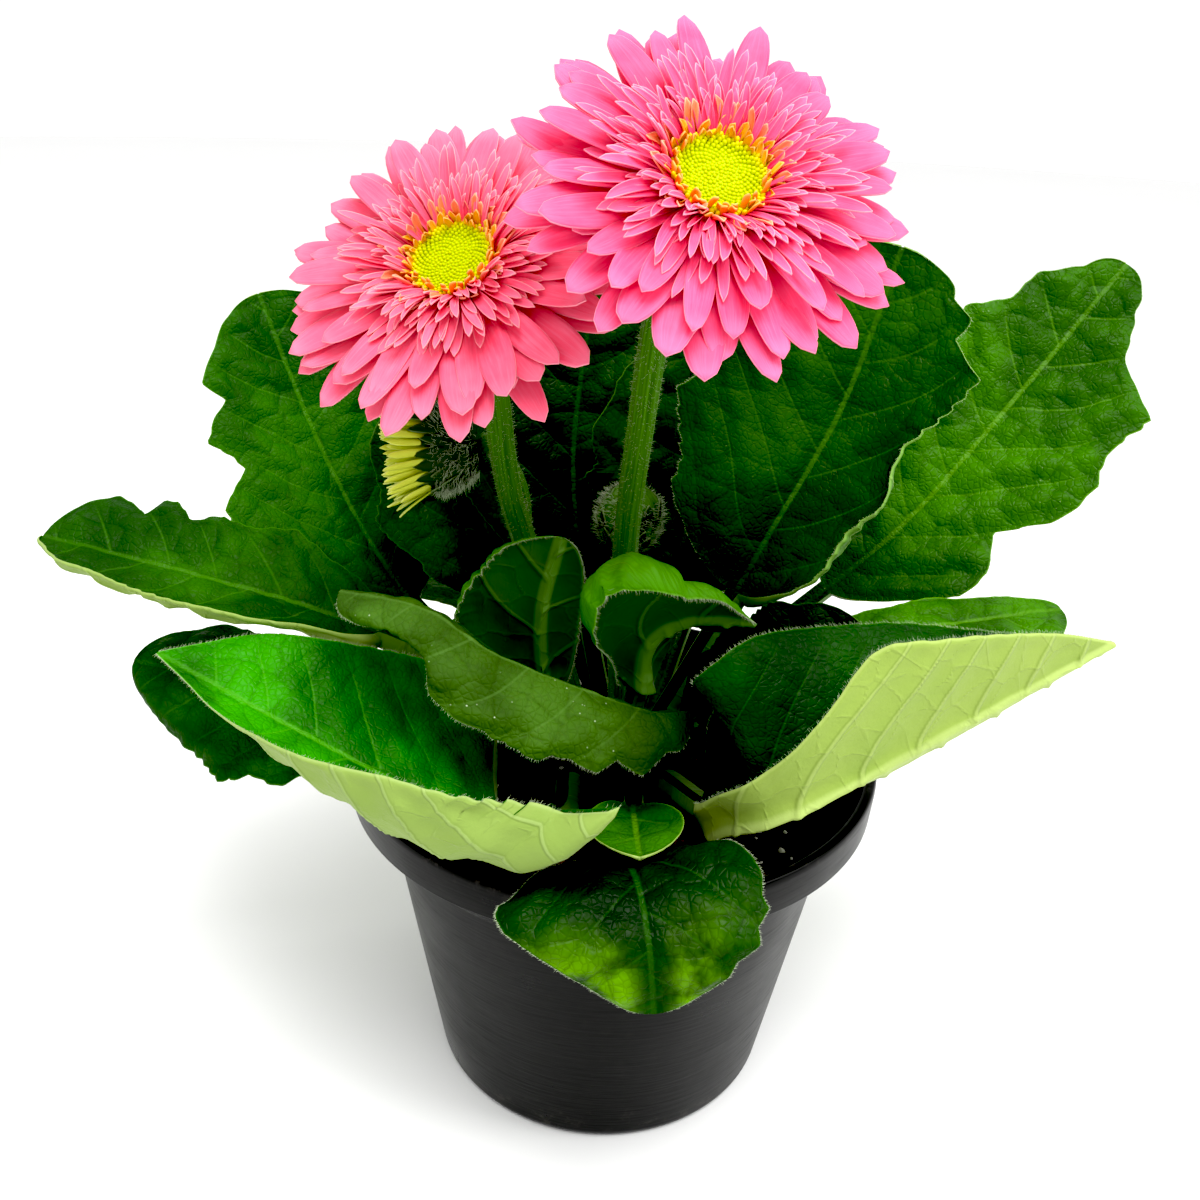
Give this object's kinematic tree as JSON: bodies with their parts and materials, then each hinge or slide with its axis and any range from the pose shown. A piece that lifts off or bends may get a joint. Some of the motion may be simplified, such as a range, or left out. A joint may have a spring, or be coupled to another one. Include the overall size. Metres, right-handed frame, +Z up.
{
  "type": "potted gerbera",
  "caption": "Potted gerbera daisy: a rosette of toothed leaves round open heads on bare scapes and young buds, rooted in potting mix in a tapered round pot.",
  "frame": {"origin": "centre of the pot's foot, on the plane that the pot stands on", "axes": "+Z up along the pot's axis, -Y towards the side that the open heads face, +X to the right seen from there"},
  "size_m": [0.287, 0.2215, 0.2692],
  "materials": {
    "pot_plastic": "black thermoformed nursery-pot plastic, satin, faint vertical flow marks",
    "potting_mix": "dark moist peat mix with a few white perlite grains",
    "crown_tissue": "green-brown rootstock with woolly leaf bases",
    "leaf": "vivid dark green upper side with sunken veins, pale downy underside",
    "old_leaf": "duller olive leaf with fine pale speckles",
    "young_leaf": "young folded leaf, underside out, downy ribs",
    "scape": "green hairy flower stalk",
    "involucre": "dark green overlapping bracts with white hairs",
    "front_rays": "satin pink ray florets, pale at the edges",
    "rear_rays": "satin coral pink ray florets, pale at the edges",
    "ring_florets": "small yellow florets with orange-red tips",
    "disc_florets": "lime-yellow unopened disc florets, finely grained",
    "bud_rays": "yellow-green unopened rays"
  },
  "bodies": {
    "root": {"crown": "crown_tissue", "front_head_disc": "disc_florets", "front_head_involucre": "involucre", "front_head_lower_rays": "front_rays", "front_head_ring_florets": "ring_florets", "front_head_scape": "scape", "front_head_trans_florets": "front_rays", "front_head_upper_rays": "front_rays", "leaf_arched": "old_leaf", "leaf_back_centre": "leaf", "leaf_back_left": "leaf", "leaf_back_right": "leaf", "leaf_front_drooping": "leaf", "leaf_front_left": "leaf", "leaf_front_right": "leaf", "leaf_front_small": "leaf", "leaf_heart_right": "leaf", "leaf_left_far": "leaf", "leaf_left_low": "leaf", "leaf_left_tall": "leaf", "leaf_rear": "leaf", "leaf_rear_left": "leaf", "leaf_rear_right": "leaf", "leaf_right_inner": "leaf", "leaf_right_low": "leaf", "leaf_right_tall": "leaf", "leaf_young_left": "young_leaf", "leaf_young_right": "young_leaf", "open_bud_involucre": "involucre", "open_bud_rays": "bud_rays", "open_bud_scape": "scape", "pot": "pot_plastic", "rear_head_disc": "disc_florets", "rear_head_involucre": "involucre", "rear_head_lower_rays": "rear_rays", "rear_head_ring_florets": "ring_florets", "rear_head_scape": "scape", "rear_head_trans_florets": "rear_rays", "rear_head_upper_rays": "rear_rays", "root_ball": "potting_mix", "small_bud_head": "involucre", "small_bud_scape": "scape"}
  },
  "joints": []
}
